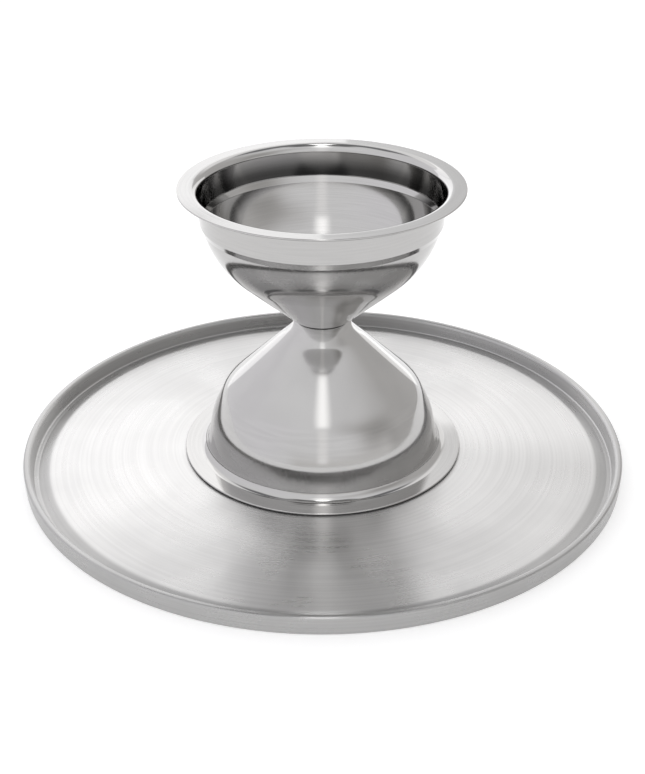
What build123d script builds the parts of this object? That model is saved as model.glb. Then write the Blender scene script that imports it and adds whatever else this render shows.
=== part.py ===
from build123d import *
import math
import os

# A footed steel cup that stands on a wide rimmed tray.
# Millimetres, +Z up. The origin is on the common axis, in the plane the tray stands on.

# ---- driving dimensions ----
SHEET = 1.0                 # every spun or pressed shell is this thick

# tray
TRAY_R = 159.0              # outside of the rim at its top
TRAY_FOOT_R = 158.5         # outside of the skirt where it turns under
RIM_TOP = 9.8
RIM_WIDTH = 3.7             # across the top of the rim
RIM_CORNER = 1.2            # rounding of the rim's outer edge and of the hem
RIM_ROUND = 2.2             # rounding of the rim's inner edge
HEM_R = 156.2               # inner edge of the turned-in hem that the tray stands on
GUTTER_R = 154.2            # outer edge of the gutter, where the rim's inner wall rises
GUTTER_IN_R = 151.6         # inner edge of the gutter
GUTTER_TOP = 1.5
GUTTER_FILLET = 0.9
PLATEAU_TOP = 6.4           # flat middle, under the foot
CROWN_R = 96.0              # where the flat and the gently falling cone round it would meet
CROWN_ROUND = 500.0
SHOULDER_EDGE_R = 145.4     # where the cone turns down into the gutter
SHOULDER_EDGE = 2.9
SHOULDER_EDGE_ROUND = 12.0

# foot ring: the soft edging under the foot's flange
RING_TOP = PLATEAU_TOP + 0.6
RING_R = 73.3
RING_IN_R = 70.6

# foot, outside surface
FLANGE_R = 73.7
FLANGE_TOP = RING_TOP + SHEET
FLANGE_EDGE = 0.45          # rounding of the flange's two edges
WALL_BASE_R = 62.1          # where the wall would meet the flange if there were no fillet
FLANGE_FILLET = 5.0
WALL_BEND_R = 58.3          # where the steep lower part of the wall starts to lean in
WALL_BEND = 26.7
WALL_ROUND = 30.0
SHOULDER_R = 51.3           # where the wall and the cone would meet
SHOULDER = 41.7
SHOULDER_ROUND = 16.0
NECK_R = 15.0
NECK_BASE = 76.2
NECK_FILLET = 6.8
FOOT_TOP = 80.0
NECK_ROUND = 0.5

# neck seal and fasteners
SEAL_THICK = 1.0
SEAL_R = 14.2
STUD_R = 3.0                # M6
STUD_HOLE_R = 3.3
STUD_FLANGE_R = 4.0
STUD_FLANGE = 0.8
STUD_LENGTH = 12.6
STUD_POINT = 0.6            # chamfer on the stud's free end
WASHER_R = 9.0
WASHER_THICK = 1.6
SPRING_R = 5.9
SPRING_THICK = 1.6
SPRING_SLOT = 1.2
NUT_ACROSS_FLATS = 10.0
NUT_HEIGHT = 5.0
NUT_FACE_R = 4.8            # edge of the nut's flat end faces, inside the corner bevels
NUT_BORE_R = 3.05

# bowl, outside surface
BOWL_BASE = FOOT_TOP + SEAL_THICK
BOWL_BASE_R = 15.2
BOWL_ROUND = 1.4
BODY_BEND_R = 55.5          # where the cone and the upper body would meet
BODY_BEND = 116.5
BODY_ROUND = 53.0
BODY_TOP_R = 59.6           # foot of the step under the collar
BODY_TOP = 132.3
STEP_FILLET = 1.2
STEP_ROUND = 1.8
COLLAR_R = 61.0
COLLAR_BASE = 135.4
COLLAR_TOP_R = 62.0         # the collar opens slightly towards the mouth
LIP_R = 71.5
LIP_TOP = 152.4
LIP_BEND = 4.6              # inside of the mouth, where the lip turns down
LIP_EDGE = 0.45

os.makedirs("parts", exist_ok=True)


# ---- tray: a flat middle that falls gently to a gutter, and a box rim with a turned-in hem ----
rim_in_r = TRAY_R - RIM_WIDTH
with BuildPart() as tray:
    with BuildSketch(Plane.XZ):
        with BuildLine():
            FilletPolyline(
                (0, PLATEAU_TOP),
                (CROWN_R, PLATEAU_TOP),
                (SHOULDER_EDGE_R, SHOULDER_EDGE),
                (GUTTER_IN_R, GUTTER_TOP),
                (GUTTER_R, GUTTER_TOP),
                (rim_in_r, RIM_TOP),
                (TRAY_R, RIM_TOP),
                (TRAY_FOOT_R, 0),
                (HEM_R, 0),
                radius=[
                    CROWN_ROUND,
                    SHOULDER_EDGE_ROUND,
                    GUTTER_FILLET,
                    GUTTER_FILLET,
                    RIM_ROUND,
                    RIM_CORNER,
                    RIM_CORNER,
                ],
            )
            offset(amount=SHEET, side=Side.RIGHT)
        make_face()
    revolve(axis=Axis.Z)
tray.part.label = "tray"
export_step(tray.part, "parts/tray.step")


# ---- foot ring: a thin soft edging, flush between the tray and the flange ----
with BuildPart() as foot_ring:
    with BuildSketch(Plane.XY.offset(PLATEAU_TOP)):
        Circle(RING_R)
        Circle(RING_IN_R, mode=Mode.SUBTRACT)
    extrude(amount=RING_TOP - PLATEAU_TOP)
foot_ring.part.label = "foot_ring"
export_step(foot_ring.part, "parts/foot_ring.step")


# ---- foot: a flat flange, a flared wall, a rounded shoulder and a cone up to the neck ----
with BuildPart() as foot:
    with BuildSketch(Plane.XZ) as foot_section:
        with BuildLine():
            FilletPolyline(
                (FLANGE_R, FLANGE_TOP),
                (WALL_BASE_R, FLANGE_TOP),
                (WALL_BEND_R, WALL_BEND),
                (SHOULDER_R, SHOULDER),
                (NECK_R, NECK_BASE),
                (NECK_R, FOOT_TOP),
                (STUD_HOLE_R, FOOT_TOP),
                radius=[FLANGE_FILLET, WALL_ROUND, SHOULDER_ROUND, NECK_FILLET, NECK_ROUND],
            )
            offset(amount=SHEET, side=Side.LEFT)
        make_face()
        fillet(foot_section.vertices().sort_by(Axis.X)[-2:], FLANGE_EDGE)
    revolve(axis=Axis.Z)
foot.part.label = "foot"
export_step(foot.part, "parts/foot.step")


# ---- bowl: a closed spun cup with a stepped collar and a flat turned-out lip ----
with BuildPart() as bowl:
    with BuildSketch(Plane.XZ) as bowl_section:
        with BuildLine():
            FilletPolyline(
                (0, BOWL_BASE),
                (BOWL_BASE_R, BOWL_BASE),
                (BODY_BEND_R, BODY_BEND),
                (BODY_TOP_R, BODY_TOP),
                (COLLAR_R, COLLAR_BASE),
                (COLLAR_TOP_R, LIP_TOP - SHEET),
                (LIP_R, LIP_TOP - SHEET),
                radius=[BOWL_ROUND, BODY_ROUND, STEP_FILLET, STEP_ROUND, LIP_BEND - SHEET],
            )
            offset(amount=SHEET, side=Side.LEFT)
        make_face()
        fillet(bowl_section.vertices().sort_by(Axis.X)[-2:], LIP_EDGE)
    revolve(axis=Axis.Z)
bowl.part.label = "bowl"
export_step(bowl.part, "parts/bowl.step")


# ---- neck seal: between the bowl's base and the top of the foot ----
with BuildPart() as neck_seal:
    with BuildSketch(Plane.XY.offset(FOOT_TOP)):
        Circle(SEAL_R)
        Circle(STUD_FLANGE_R + 0.3, mode=Mode.SUBTRACT)
    extrude(amount=SEAL_THICK)
neck_seal.part.label = "neck_seal"
export_step(neck_seal.part, "parts/neck_seal.step")


# ---- weld stud: stands down from the bowl's base through the foot ----
with BuildPart() as weld_stud:
    with BuildSketch(Plane.XY.offset(BOWL_BASE)):
        Circle(STUD_FLANGE_R)
    extrude(amount=-STUD_FLANGE)
    with BuildSketch(Plane.XY.offset(BOWL_BASE)):
        Circle(STUD_R)
    extrude(amount=-STUD_LENGTH)
    chamfer(weld_stud.edges().sort_by(Axis.Z)[0], STUD_POINT)
weld_stud.part.label = "weld_stud"
export_step(weld_stud.part, "parts/weld_stud.step")


# ---- the stack that clamps the foot: plain washer, spring washer, nut ----
washer_top = FOOT_TOP - SHEET
with BuildPart() as plain_washer:
    with BuildSketch(Plane.XY.offset(washer_top)):
        Circle(WASHER_R)
        Circle(STUD_HOLE_R, mode=Mode.SUBTRACT)
    extrude(amount=-WASHER_THICK)
plain_washer.part.label = "plain_washer"
export_step(plain_washer.part, "parts/plain_washer.step")

spring_top = washer_top - WASHER_THICK
with BuildPart() as spring_washer:
    with BuildSketch(Plane.XY.offset(spring_top)):
        Circle(SPRING_R)
        Circle(STUD_HOLE_R, mode=Mode.SUBTRACT)
        with Locations((SPRING_R / 2, 0)):
            Rectangle(SPRING_R + 1, SPRING_SLOT, mode=Mode.SUBTRACT)
    extrude(amount=-SPRING_THICK)
spring_washer.part.label = "spring_washer"
export_step(spring_washer.part, "parts/spring_washer.step")

nut_top = spring_top - SPRING_THICK
nut_corner_r = NUT_ACROSS_FLATS / 2 / math.cos(math.radians(30))
nut_bevel = (nut_corner_r - NUT_FACE_R) * math.tan(math.radians(30))
with BuildPart() as hex_nut:
    with BuildSketch(Plane.XY.offset(nut_top)):
        RegularPolygon(nut_corner_r, 6)
        Circle(NUT_BORE_R, mode=Mode.SUBTRACT)
    extrude(amount=-NUT_HEIGHT)
    with BuildSketch(Plane.XZ):
        with BuildLine():
            Polyline(
                (0, nut_top),
                (NUT_FACE_R, nut_top),
                (nut_corner_r, nut_top - nut_bevel),
                (nut_corner_r, nut_top - NUT_HEIGHT + nut_bevel),
                (NUT_FACE_R, nut_top - NUT_HEIGHT),
                (0, nut_top - NUT_HEIGHT),
                close=True,
            )
        make_face()
    revolve(axis=Axis.Z, mode=Mode.INTERSECT)
hex_nut.part.label = "hex_nut"
export_step(hex_nut.part, "parts/hex_nut.step")
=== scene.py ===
"""A footed steel cup on a wide rimmed tray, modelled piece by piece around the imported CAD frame.

Outlines are in millimetres. Meshes, materials, lights and the camera are in metres. +Z is up.
"""

import math

import bpy
from mathutils import Euler, Matrix, Vector


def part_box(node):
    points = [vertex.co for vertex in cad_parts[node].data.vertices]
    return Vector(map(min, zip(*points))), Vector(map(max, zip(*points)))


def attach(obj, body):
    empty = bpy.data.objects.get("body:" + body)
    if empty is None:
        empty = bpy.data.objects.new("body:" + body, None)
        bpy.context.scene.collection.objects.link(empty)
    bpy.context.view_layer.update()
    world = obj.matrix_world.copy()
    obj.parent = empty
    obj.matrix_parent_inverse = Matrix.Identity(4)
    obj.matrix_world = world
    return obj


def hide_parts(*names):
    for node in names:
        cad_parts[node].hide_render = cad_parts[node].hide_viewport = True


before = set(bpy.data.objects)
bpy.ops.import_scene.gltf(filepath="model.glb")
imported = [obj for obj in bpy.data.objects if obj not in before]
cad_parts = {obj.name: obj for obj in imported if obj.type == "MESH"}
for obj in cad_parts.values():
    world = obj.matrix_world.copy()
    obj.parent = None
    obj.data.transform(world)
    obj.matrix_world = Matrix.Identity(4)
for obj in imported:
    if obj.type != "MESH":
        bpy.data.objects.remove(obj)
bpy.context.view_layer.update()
scene = bpy.context.scene

MM = 0.001


# ---- sizes in millimetres: what the frame knows, then the rest of the CAD model's outlines ----


def size(node):
    """Largest radius, lowest and highest point of a CAD node, in millimetres."""
    low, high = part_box(node)
    return max(high.x, high.y, -low.x, -low.y) / MM, low.z / MM, high.z / MM


_, _, rim_top = size("tray")
ring_r, plateau, ring_top = size("foot_ring")
flange_r, _, foot_top = size("foot")
lip_r, bowl_base, lip_top = size("bowl")
seal_r, _, _ = size("neck_seal")
_, stud_point, stud_top = size("weld_stud")

SHEET = 1.0                 # every spun or pressed shell is this thick

# tray
TRAY_R = 159.0              # outside of the rim, where its top and skirt would meet
TRAY_FOOT_R = 158.5         # outside of the skirt where it turns under
RIM_WIDTH = 3.7             # across the top of the rim
RIM_CORNER = 1.2            # rounding of the rim's outer edge and of the hem
RIM_ROUND = 2.2             # rounding of the rim's inner edge
HEM_R = 156.2               # inner edge of the turned-in hem that the tray stands on
GUTTER_R = 154.2            # outer edge of the gutter, where the rim's inner wall rises
GUTTER_IN_R = 151.6         # inner edge of the gutter
GUTTER_TOP = 1.5
GUTTER_FILLET = 0.9
CROWN_R = 96.0              # where the flat and the gently falling cone round it would meet
CROWN_ROUND = 500.0
SHOULDER_EDGE_R = 145.4     # where the cone turns down into the gutter
SHOULDER_EDGE = 2.9
SHOULDER_EDGE_ROUND = 12.0

# foot
RING_IN_R = 70.6
WALL_BASE_R = 62.1          # where the wall would meet the flange if there were no fillet
FLANGE_FILLET = 5.0
WALL_BEND_R = 58.3          # where the steep lower part of the wall starts to lean in
WALL_BEND = 26.7
WALL_ROUND = 30.0
SHOULDER_R = 51.3           # where the wall and the cone would meet
SHOULDER = 41.7
SHOULDER_ROUND = 16.0
NECK_R = 15.0
NECK_BASE = 76.2
NECK_FILLET = 6.8
NECK_ROUND = 0.5

# neck seal and weld stud
SEAL_IN_R = 4.3
STUD_R = 3.0
STUD_HOLE_R = 3.3
STUD_FLANGE_R = 4.0
STUD_FLANGE = 0.8
STUD_FLANGE_EDGE = 0.1
STUD_CHAMFER = 0.6          # on the stud's free end
THREAD_PITCH = 1.0
THREAD_DEPTH = 0.55

# bowl
BOWL_BASE_R = 15.2
BOWL_ROUND = 1.4
BODY_BEND_R = 55.5          # where the cone and the upper body would meet
BODY_BEND = 116.5
BODY_ROUND = 53.0
BODY_TOP_R = 59.6           # foot of the step under the collar
BODY_TOP = 132.3
STEP_FILLET = 1.2
STEP_ROUND = 1.8
COLLAR_R = 61.0
COLLAR_BASE = 135.4
COLLAR_TOP_R = 62.0         # the collar opens slightly towards the mouth
LIP_BEND = 3.6              # rounding between the collar and the underside of the lip

# the outer face of each shell, from end to end: radius, height, rounding of the corner there
TRAY_OUTLINE = (
    (0, plateau, 0),
    (CROWN_R, plateau, CROWN_ROUND),
    (SHOULDER_EDGE_R, SHOULDER_EDGE, SHOULDER_EDGE_ROUND),
    (GUTTER_IN_R, GUTTER_TOP, GUTTER_FILLET),
    (GUTTER_R, GUTTER_TOP, GUTTER_FILLET),
    (TRAY_R - RIM_WIDTH, rim_top, RIM_ROUND),
    (TRAY_R, rim_top, RIM_CORNER),
    (TRAY_FOOT_R, 0, RIM_CORNER),
    (HEM_R, 0, 0),
)
FOOT_OUTLINE = (
    (flange_r, ring_top + SHEET, 0),
    (WALL_BASE_R, ring_top + SHEET, FLANGE_FILLET),
    (WALL_BEND_R, WALL_BEND, WALL_ROUND),
    (SHOULDER_R, SHOULDER, SHOULDER_ROUND),
    (NECK_R, NECK_BASE, NECK_FILLET),
    (NECK_R, foot_top, NECK_ROUND),
    (STUD_HOLE_R, foot_top, 0),
)
BOWL_OUTLINE = (
    (0, bowl_base, 0),
    (BOWL_BASE_R, bowl_base, BOWL_ROUND),
    (BODY_BEND_R, BODY_BEND, BODY_ROUND),
    (BODY_TOP_R, BODY_TOP, STEP_FILLET),
    (COLLAR_R, COLLAR_BASE, STEP_ROUND),
    (COLLAR_TOP_R, lip_top - SHEET, LIP_BEND),
    (lip_r, lip_top - SHEET, 0),
)


# ---- outlines: straight runs joined by rounded corners ----


def unit(a, b):
    """The direction from a to b."""
    dx, dz = b[0] - a[0], b[1] - a[1]
    length = math.hypot(dx, dz)
    return dx / length, dz / length


def turn_at(points, i):
    """Signed angle at a corner of a polyline, left turns positive."""
    ax, az = unit(points[i - 1], points[i])
    bx, bz = unit(points[i], points[i + 1])
    return math.atan2(ax * bz - az * bx, ax * bx + az * bz)


def rounded(points, radii, step):
    """Points and left-hand normals along a polyline with rounded corners. step is in degrees."""
    ax, az = unit(points[0], points[1])
    path = [(points[0], (-az, ax))]
    for i, radius in enumerate(radii, start=1):
        ax, az = unit(points[i - 1], points[i])
        turn = turn_at(points, i)
        reach = radius * math.tan(abs(turn) / 2)
        side = math.copysign(radius, turn)
        start = (points[i][0] - ax * reach, points[i][1] - az * reach)
        centre = (start[0] - az * side, start[1] + ax * side)
        count = max(2, math.ceil(abs(math.degrees(turn)) / step))
        for k in range(count + 1):
            angle = turn * k / count
            dx = ax * math.cos(angle) - az * math.sin(angle)
            dz = az * math.cos(angle) + ax * math.sin(angle)
            path.append(((centre[0] + dz * side, centre[1] - dx * side), (-dz, dx)))
    ax, az = unit(points[-2], points[-1])
    path.append((points[-1], (-az, ax)))
    return path


def beside(points, radii, gap):
    """The polyline and radii of a line that runs to the left of another, gap away from it."""
    moved = []
    for i, (x, z) in enumerate(points):
        before = unit(points[i - 1], points[i]) if i else unit(points[0], points[1])
        after = unit(points[i], points[i + 1]) if i + 1 < len(points) else before
        scale = gap / (1 + before[0] * after[0] + before[1] * after[1])
        moved.append((x - (before[1] + after[1]) * scale, z + (before[0] + after[0]) * scale))
    radii = [r - math.copysign(gap, gap * turn_at(points, i)) for i, r in enumerate(radii, start=1)]
    return moved, radii


def half_round(a, b, out, steps=6):
    """Points and normals of a half circle from a to b, bulging along out, without its two ends."""
    cx, cz = (a[0] + b[0]) / 2, (a[1] + b[1]) / 2
    ux, uz = a[0] - cx, a[1] - cz
    radius = math.hypot(ux, uz)
    arc = []
    for k in range(1, steps):
        angle = math.pi * k / steps
        x = ux * math.cos(angle) + out[0] * radius * math.sin(angle)
        z = uz * math.cos(angle) + out[1] * radius * math.sin(angle)
        arc.append(((cx + x, cz + z), (x / radius, z / radius)))
    return arc


# ---- meshes ----

ON_AXIS = 1e-6              # a point of an outline that is closer than this lies on the axis
BAND_EDGE = 0.3             # rounding of a band's edges, as a share of its thickness
BAND_STEP = 30              # degrees between the points of that rounding


def link(name, mesh, material):
    """A new object in the scene, with one mesh and one material."""
    mesh.materials.append(material)
    piece = bpy.data.objects.new(name, mesh)
    scene.collection.objects.link(piece)
    return piece


def lathe(name, path, segments, material):
    """A body of revolution about Z. path is a closed list of ((r, z), (nr, nz)) in millimetres."""
    ring = [p for p, _ in path]
    area = sum(a[0] * b[1] - b[0] * a[1] for a, b in zip(ring, ring[1:] + ring[:1]))
    if area < 0:
        path = path[::-1]
    verts, normals, faces, rows = [], [], [], []
    for (r, z), (nr, nz) in path:
        if r < ON_AXIS:
            rows.append([len(verts)] * segments)
            verts.append((0, 0, z * MM))
            normals.append((0, 0, math.copysign(1, nz)))
            continue
        rows.append(list(range(len(verts), len(verts) + segments)))
        for s in range(segments):
            angle = 2 * math.pi * s / segments
            x, y = math.cos(angle), math.sin(angle)
            verts.append((r * x * MM, r * y * MM, z * MM))
            normals.append((nr * x, nr * y, nz))
    for a, b in zip(rows, rows[1:] + rows[:1]):
        if a[0] == a[1] and b[0] == b[1]:
            continue
        for s in range(segments):
            t = (s + 1) % segments
            faces.append(list(dict.fromkeys((a[s], a[t], b[t], b[s]))))
    mesh = bpy.data.meshes.new(name)
    mesh.from_pydata(verts, [], faces)
    mesh.shade_smooth()
    mesh.normals_split_custom_set_from_vertices(normals)
    return link(name, mesh, material)


def eased(path, reach, above):
    """The path with points at most a millimetre apart, and with each normal an average of those near it.

    The averaging starts at the height above, widens with height, and ends up as wide as reach.
    """
    close = []
    for (p, n), (q, m) in zip(path, path[1:]):
        count = max(1, math.ceil(math.dist(p, q)))
        for k in range(count):
            t = k / count
            point = (p[0] + (q[0] - p[0]) * t, p[1] + (q[1] - p[1]) * t)
            normal = (n[0] + (m[0] - n[0]) * t, n[1] + (m[1] - n[1]) * t)
            close.append((point, normal))
    close.append(path[-1])
    soft = []
    for p, n in close:
        width = reach * min(1, max(0, (p[1] - above) / reach))
        near = [(m, 1 - math.dist(p, q) / width) for q, m in close if math.dist(p, q) < width]
        near = near or [(n, 1)]
        x, z = sum(m[0] * w for m, w in near), sum(m[1] * w for m, w in near)
        soft.append((p, (x / math.hypot(x, z), z / math.hypot(x, z))))
    return soft


def shell(name, outline, gap, segments, material, step=6.0, ease=None):
    """A sheet-metal body of revolution, between an outline and the line that runs gap to its left.

    Free edges are half round. step is in degrees, and ease is the reach and the height for eased.
    """
    points = [(r, z) for r, z, _ in outline]
    radii = [rounding for _, _, rounding in outline[1:-1]]
    half = SHEET / 2
    ends = []
    for end, inner in ((0, 1), (-1, -2)):
        out = unit(points[inner], points[end])
        ends.append(out)
        if points[end][0] > 0:
            points[end] = (points[end][0] - out[0] * half, points[end][1] - out[1] * half)
    sign = 1 if gap > 0 else -1
    near = [(p, (-n[0] * sign, -n[1] * sign)) for p, n in rounded(points, radii, step)]
    far = [(p, (n[0] * sign, n[1] * sign)) for p, n in rounded(*beside(points, radii, gap), step)]
    if ease:
        near = eased(near, *ease)
    path = near + half_round(near[-1][0], far[-1][0], ends[1]) + far[::-1]
    if points[0][0] > 0:
        path += half_round(far[0][0], near[0][0], ends[0])
    return lathe(name, path, segments, material)


def band(name, r_in, r_out, z_low, z_high, segments, material):
    """A flat ring with softened edges."""
    corners = [(r_in, z_low), (r_out, z_low), (r_out, z_high), (r_in, z_high)]
    soft = min(r_out - r_in, z_high - z_low) * BAND_EDGE
    middle = ((r_in + r_out) / 2, z_low)
    loop = [middle, *corners[1:], corners[0], middle]
    path = rounded(loop, [soft] * len(corners), BAND_STEP)
    return lathe(name, [(p, (-n[0], -n[1])) for p, n in path[:-1]], segments, material)


# ---- materials ----

NOISE_LOW, NOISE_HIGH = 0.3, 0.7    # most of a noise lies between these
COARSE_SCALE = 0.22                 # scale of the coarse noise in the brushing, against its fine lines
LINE_SHARE, COARSE_SHARE = 0.85, 0.15


class Nodes:
    """A short way to add and join shader nodes."""

    def __init__(self, tree):
        self.tree = tree

    def add(self, kind, inputs=(), **settings):
        node = self.tree.nodes.new(kind)
        for key, value in settings.items():
            setattr(node, key, value)
        for key, value in dict(inputs).items():
            self.put(node.inputs[key], value)
        return node

    def put(self, socket, value):
        if isinstance(value, bpy.types.NodeSocket):
            self.tree.links.new(value, socket)
        else:
            socket.default_value = value

    def math(self, operation, *values):
        return self.add("ShaderNodeMath", enumerate(values), operation=operation).outputs[0]

    def ramp(self, value, low, high, to_low=0.0, to_high=1.0):
        """A smooth step from to_low, where value is low or less, to to_high."""
        inputs = {"Value": value, "From Min": low, "From Max": high, "To Min": to_low, "To Max": to_high}
        node = self.add("ShaderNodeMapRange", inputs, interpolation_type="SMOOTHSTEP")
        return node.outputs["Result"]

    def mix(self, factor, a, b):
        node = self.add("ShaderNodeMix", data_type="RGBA")
        self.put(node.inputs["Factor"], factor)
        for socket, value in zip([s for s in node.inputs if s.type == "RGBA"], (a, b)):
            self.put(socket, value)
        return next(s for s in node.outputs if s.type == "RGBA")

    def noise(self, vector, scale, detail=3.0):
        inputs = {"Vector": vector, "Scale": scale, "Detail": detail}
        return self.add("ShaderNodeTexNoise", inputs).outputs["Fac"]


def new_material(name):
    """A material, a way to add nodes to it, and its shader."""
    material = bpy.data.materials.new(name)
    material.use_nodes = True
    return material, Nodes(material.node_tree), material.node_tree.nodes["Principled BSDF"]


def turned_coordinates(nodes, arc):
    """The place, its radius and height, and coordinates in which noise draws arcs round the axis.

    A turn about the axis is a circle of radius arc in them, so the smaller arc is, the longer the arcs.
    """
    place = nodes.add("ShaderNodeTexCoord").outputs["Object"]
    x, y, z = nodes.add("ShaderNodeSeparateXYZ", {0: place}).outputs
    squares = nodes.math("ADD", nodes.math("MULTIPLY", x, x), nodes.math("MULTIPLY", y, y))
    radius = nodes.math("MAXIMUM", nodes.math("SQRT", squares), 0.5 * MM)
    across = nodes.math("ADD", radius, z)
    cosine = nodes.math("MULTIPLY", nodes.math("DIVIDE", x, radius), arc)
    sine = nodes.math("MULTIPLY", nodes.math("DIVIDE", y, radius), arc)
    turned = nodes.add("ShaderNodeCombineXYZ", {0: across, 1: cosine, 2: sine}).outputs[0]
    return place, radius, z, turned


def steel(
    name, color, rough, anisotropy, line_width, line_depth, shade, arc=0.002, smudge=0.03, grain=0.03
):
    """Turned stainless steel: fine arcs about the axis, softer smudges, a little change of tone.

    line_width, line_depth and arc are in metres. shade paints shade: it gives how much of the color
    is left at a radius and height. smudge is how far the roughness strays, and grain how far the tone
    does.
    """
    material, nodes, shader = new_material(name)
    place, radius, height, turned = turned_coordinates(nodes, arc)
    lines = nodes.noise(turned, 1 / line_width, detail=1.5)
    coarse = nodes.noise(turned, COARSE_SCALE / line_width, detail=2.0)
    lines, coarse = nodes.math("MULTIPLY", lines, LINE_SHARE), nodes.math("MULTIPLY", coarse, COARSE_SHARE)
    brushing = nodes.math("ADD", lines, coarse)
    tone = nodes.ramp(brushing, NOISE_LOW, NOISE_HIGH)
    darker = (*(c * (1 - grain) for c in color), 1)
    lighter = (*(c * (1 + grain) for c in color), 1)
    bright = nodes.mix(tone, darker, lighter)
    shaded = nodes.mix(shade(nodes, radius, height), (0, 0, 0, 1), bright)
    nodes.put(shader.inputs["Base Color"], shaded)
    clouds = nodes.ramp(nodes.noise(place, 28.0), 0.35, 0.7, rough - smudge, rough + smudge)
    roughness = nodes.math("ADD", clouds, nodes.math("MULTIPLY", tone, smudge))
    nodes.put(shader.inputs["Roughness"], roughness)
    bump = nodes.add("ShaderNodeBump", {"Height": brushing, "Strength": 1.0, "Distance": line_depth})
    nodes.put(shader.inputs["Normal"], bump.outputs[0])
    shader.inputs["Metallic"].default_value = 1.0
    if anisotropy:
        shader.inputs["Anisotropic"].default_value = anisotropy
        shader.inputs["Anisotropic Rotation"].default_value = 0.25
        tangent = nodes.add("ShaderNodeTangent", direction_type="RADIAL", axis="Z")
        nodes.put(shader.inputs["Tangent"], tangent.outputs[0])
    return material


def tray_rim_painted_shade(nodes, radius, height):
    """Painted shade: from the edge of the plateau outwards, over the gutter, rim and skirt, the tray's
    colour is darkened to 0.72.
    """
    return nodes.ramp(radius, 144.5 * MM, 147.5 * MM, 1.0, 0.72)


def collar_painted_shade(nodes, radius, height):
    """Painted shade: inside the collar the wall is darkened just above its step, and clears towards the
    mouth.
    """
    slope = (COLLAR_TOP_R - COLLAR_R) / (lip_top - SHEET - COLLAR_BASE)
    start = (COLLAR_R - SHEET / 2 - COLLAR_BASE * slope) * MM
    middle_of_sheet = nodes.math("ADD", start, nodes.math("MULTIPLY", height, slope))
    within = nodes.math("LESS_THAN", radius, middle_of_sheet)
    over_step = nodes.math("GREATER_THAN", height, (COLLAR_BASE + 0.8) * MM)
    loss = nodes.ramp(height, 138.5 * MM, 150.0 * MM, 0.82, 0.0)
    inside = nodes.math("MULTIPLY", within, over_step)
    return nodes.math("SUBTRACT", 1.0, nodes.math("MULTIPLY", inside, loss))


def even(nodes, radius, height):
    """The same tone all over."""
    return 1.0


def rubber(name):
    """Matt black edging with a fine grain and a few dusty patches.
    Its black also stands in for the contact shadows where the edging sits.
    """
    material, nodes, shader = new_material(name)
    place = nodes.add("ShaderNodeTexCoord").outputs["Object"]
    grain = nodes.noise(place, 2600.0, detail=2.0)
    dust = nodes.ramp(nodes.noise(place, 60.0), 0.45, 0.75)
    color = nodes.mix(dust, (0.008, 0.008, 0.009, 1), (0.022, 0.021, 0.02, 1))
    nodes.put(shader.inputs["Base Color"], color)
    nodes.put(shader.inputs["Roughness"], nodes.ramp(grain, NOISE_LOW, NOISE_HIGH, 0.5, 0.72))
    bump = nodes.add("ShaderNodeBump", {"Height": grain, "Strength": 0.4, "Distance": 0.04 * MM})
    nodes.put(shader.inputs["Normal"], bump.outputs[0])
    return material


tray_steel = steel(
    "tray_steel",
    color=(0.60, 0.596, 0.592),
    rough=0.28,
    anisotropy=0.94,
    line_width=0.0013,
    line_depth=0.0000015,
    # painted shade on the tray's gutter, rim and skirt
    shade=tray_rim_painted_shade,
    arc=0.0010,
    grain=0.05,
)
cup_steel = steel(
    "cup_steel",
    color=(0.49, 0.485, 0.48),
    rough=0.08,
    anisotropy=0.6,
    line_width=0.0009,
    line_depth=0.0000015,
    # painted shade inside the collar
    shade=collar_painted_shade,
    smudge=0.02,
)
fastener_steel = steel(
    "fastener_steel",
    color=(0.50, 0.50, 0.50),
    rough=0.26,
    anisotropy=0.0,
    line_width=0.0004,
    line_depth=0.000006,
    shade=even,
)
# black edging whose black also stands in for contact shadows
shadow_black_rubber = rubber("shadow_black_rubber")


# ---- pieces ----


def threaded_stud(name, material, segments=48, rows_per_pitch=8):
    """A stud with a rolled thread, hanging from a thin weld flange."""
    flange_low = stud_top - STUD_FLANGE
    low = stud_point + STUD_CHAMFER
    count = round((flange_low - low) / THREAD_PITCH * rows_per_pitch)
    verts, faces = [(0, 0, stud_point * MM)], []

    def ring(r_at, z):
        start = len(verts)
        for s in range(segments):
            angle = 2 * math.pi * s / segments
            r = r_at(angle)
            verts.append((r * math.cos(angle) * MM, r * math.sin(angle) * MM, z * MM))
        return start

    def flank(z):
        """Radius of the thread at a height, by angle. The thread runs out below the flange."""
        def r_at(angle):
            phase = ((z - low) / THREAD_PITCH + angle / (2 * math.pi)) % 1
            fade = min(1, (flange_low - z) / THREAD_PITCH)
            groove = min(1, max(0, abs(phase - 0.5) * 2.4 - 0.15))
            return STUD_R - THREAD_DEPTH * fade * groove
        return r_at

    starts = [ring(lambda a: STUD_R - STUD_CHAMFER, stud_point)]
    for k in range(count + 1):
        z = low + (flange_low - low) * k / count
        starts.append(ring(flank(z), z))
    edge_r = STUD_FLANGE_R - STUD_FLANGE_EDGE
    for r, z in (
        (edge_r, flange_low),
        (STUD_FLANGE_R, flange_low + STUD_FLANGE_EDGE),
        (STUD_FLANGE_R, stud_top - STUD_FLANGE_EDGE),
        (edge_r, stud_top),
    ):
        starts.append(ring(lambda a, r=r: r, z))
    verts.append((0, 0, stud_top * MM))
    for s in range(segments):
        t = (s + 1) % segments
        faces.append((0, starts[0] + t, starts[0] + s))
        faces.append((len(verts) - 1, starts[-1] + s, starts[-1] + t))
        for a, b in zip(starts, starts[1:]):
            faces.append((a + s, a + t, b + t, b + s))
    mesh = bpy.data.meshes.new(name)
    mesh.from_pydata(verts, [], faces)
    mesh.shade_smooth()
    mesh.set_sharp_from_angle(angle=math.radians(35))
    return link(name, mesh, material)


tray_shell = shell("tray_shell", TRAY_OUTLINE, -SHEET, 360, tray_steel)
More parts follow.
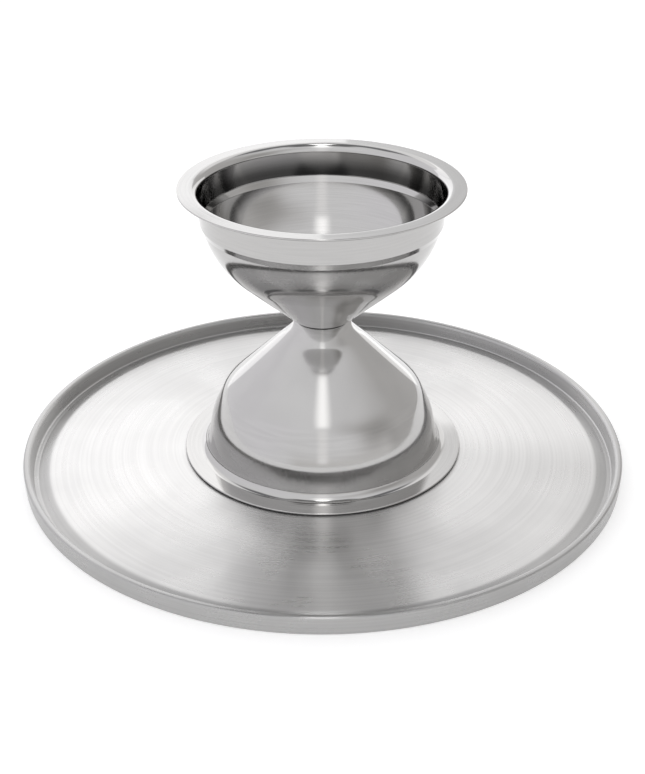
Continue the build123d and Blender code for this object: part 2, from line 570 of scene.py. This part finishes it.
# the foot's normals are eased from its wall up, so that its shoulder shows no hard line
foot_shell = shell("foot_shell", FOOT_OUTLINE, SHEET, 256, cup_steel, step=4.0, ease=(9.0, 20.0))
bowl_shell = shell("bowl_shell", BOWL_OUTLINE, SHEET, 256, cup_steel, step=4.0)
# black edging under the foot's flange; its black also stands in for the contact shadow there
ring_shadow_edging = band("ring_shadow_edging", RING_IN_R, ring_r, plateau, ring_top, 256, shadow_black_rubber)
# black seal between foot and bowl; its black also stands in for the contact shadow at the waist
neck_shadow_edging = band("neck_shadow_edging", SEAL_IN_R, seal_r, foot_top, bowl_base, 128, shadow_black_rubber)
stud_threaded = threaded_stud("stud_threaded", fastener_steel)

# each piece, the body it rides on, the CAD node it replaces and its material slot
PIECES = (
    (tray_shell, "tray", "tray", "tray_steel"),
    (foot_shell, "cup", "foot", "cup_steel"),
    (bowl_shell, "cup", "bowl", "cup_steel"),
    (ring_shadow_edging, "cup", "foot_ring", "black_edging"),
    (neck_shadow_edging, "cup", "neck_seal", "black_edging"),
    (stud_threaded, "cup", "weld_stud", "fastener_steel"),
)
for piece, body, node, slot in PIECES:
    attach(piece, body)
    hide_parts(node)
for node in ("plain_washer", "spring_washer", "hex_nut"):
    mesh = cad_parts[node].data
    mesh.materials.clear()
    mesh.materials.append(fastener_steel)


# ---- floor ----


def floor(half):
    """A pale square that glows a little, so that it doesn't darken behind the soft boxes."""
    corners = [(-half, -half, 0), (half, -half, 0), (half, half, 0), (-half, half, 0)]
    mesh = bpy.data.meshes.new("floor")
    mesh.from_pydata(corners, [], [(0, 1, 2, 3)])
    material, _, shader = new_material("floor")
    shader.inputs["Base Color"].default_value = (0.75, 0.75, 0.75, 1)
    shader.inputs["Roughness"].default_value = 0.8
    shader.inputs["Specular IOR Level"].default_value = 0.2
    shader.inputs["Emission Color"].default_value = (1, 1, 1, 1)
    shader.inputs["Emission Strength"].default_value = 0.4
    return link("floor", mesh, material)


floor(6.0)


# ---- light: a white room with brighter and darker patches, by direction, and three soft boxes ----

ROOM = (1.06, 1.06, 1.07)
OUT = 2.0                   # further than any direction reaches, so a patch has no edge there
# colour, then how far each of x, y and z of the direction may run, then how soft the edge is
PATCHES = (
    # the left, and the greyer right
    ((1.06, 1.05, 1.08), (-OUT, -0.35), (-0.70, OUT), (-OUT, 0.70), 0.25),
    ((0.68, 0.67, 0.66), (0.15, OUT), (-0.70, OUT), (-OUT, 0.75), 0.22),
    # a bright strip up behind the tray, and the dark ceiling over it and over the bowl
    ((1.30, 1.29, 1.29), (-0.60, 0.45), (0.50, OUT), (0.50, 0.80), 0.10),
    ((0.28, 0.28, 0.29), (-0.50, 0.50), (0.08, 0.48), (0.76, OUT), 0.07),
    ((0.24, 0.24, 0.24), (-0.26, 0.26), (-0.25, 0.20), (0.80, OUT), 0.06),
    # a dim patch to the front right, and the low front
    ((0.55, 0.54, 0.53), (0.60, OUT), (-0.60, -0.15), (0.15, 0.60), 0.20),
    ((0.90, 0.89, 0.88), (-0.50, OUT), (-OUT, -0.30), (-OUT, 0.20), 0.14),
    # a narrow bright strip that climbs in front, and two lamps overhead
    ((1.25, 1.24, 1.24), (-0.08, 0.08), (-OUT, -0.40), (0.10, 0.70), 0.06),
    ((1.90, 1.89, 1.89), (-0.09, 0.09), (-0.66, -0.35), (0.62, OUT), 0.08),
    ((6.00, 5.98, 5.98), (-0.05, 0.05), (-0.32, -0.15), (0.80, OUT), 0.04),
    ((6.00, 5.98, 5.98), (-0.05, 0.05), (0.12, 0.28), (0.80, OUT), 0.04),
)
# where each soft box stands, how wide and how tall it is, and how strong each square metre is
SOFT_BOXES = (
    ((-0.18, 0.45, 0.17), 0.40, 0.34, 0.52),
    ((0.19, 0.45, 0.13), 0.34, 0.26, 0.62),
    ((-0.20, 0.45, 0.40), 0.40, 0.11, 0.50),
)


def studio():
    """A world in the room's colour, with each patch mixed over the ones before it."""
    world = bpy.data.worlds.new("studio")
    world.use_nodes = True
    nodes = Nodes(world.node_tree)
    direction = nodes.add("ShaderNodeTexCoord").outputs["Generated"]
    axes = nodes.add("ShaderNodeSeparateXYZ", {0: direction}).outputs
    color = (*ROOM, 1)
    for paint, *ranges, soft in PATCHES:
        mask = None
        for axis, (low, high) in zip(axes, ranges):
            rise = nodes.ramp(axis, low - soft, low + soft)
            fall = nodes.ramp(axis, high - soft, high + soft, 1.0, 0.0)
            both = nodes.math("MULTIPLY", rise, fall)
            mask = nodes.math("MULTIPLY", mask, both) if mask else both
        color = nodes.mix(mask, color, (*paint, 1))
    background = world.node_tree.nodes["Background"]
    nodes.put(background.inputs["Color"], color)
    background.inputs["Strength"].default_value = 1.0
    return world


def soft_box(number, place, width, height, strength):
    """A panel that stands behind the tray and faces it. It shines from its front only."""
    light = bpy.data.lights.new(f"soft_box_{number}", "AREA")
    light.shape = "RECTANGLE"
    light.size, light.size_y = width, height
    light.energy = strength * math.pi * width * height
    box = bpy.data.objects.new(light.name, light)
    box.location = place
    box.rotation_euler = (-math.pi / 2, 0, 0)
    scene.collection.objects.link(box)


for number, box in enumerate(SOFT_BOXES, start=1):
    soft_box(number, *box)
scene.world = studio()
scene.view_settings.view_transform = "Standard"


# ---- camera ----

SENSOR = 36.0               # the frame's height on the sensor
FOCAL = SENSOR * 1.784      # a focal length of 1.784 frame heights
PITCH = 0.49464             # radians below the horizon
ROLL = -0.0032
DISTANCE, HEIGHT = 643.8, 386.6  # millimetres from the axis, and above the table

camera_data = bpy.data.cameras.new("camera")
camera_data.sensor_fit = "VERTICAL"
camera_data.sensor_width = SENSOR
camera_data.sensor_height = SENSOR
camera_data.lens = FOCAL
camera = bpy.data.objects.new("camera", camera_data)
camera.location = Vector((0, -DISTANCE, HEIGHT)) * MM
pitched = Euler((math.pi / 2 - PITCH, 0, 0)).to_matrix()
camera.rotation_euler = (pitched @ Matrix.Rotation(ROLL, 3, "Z")).to_euler()
scene.collection.objects.link(camera)
scene.camera = camera
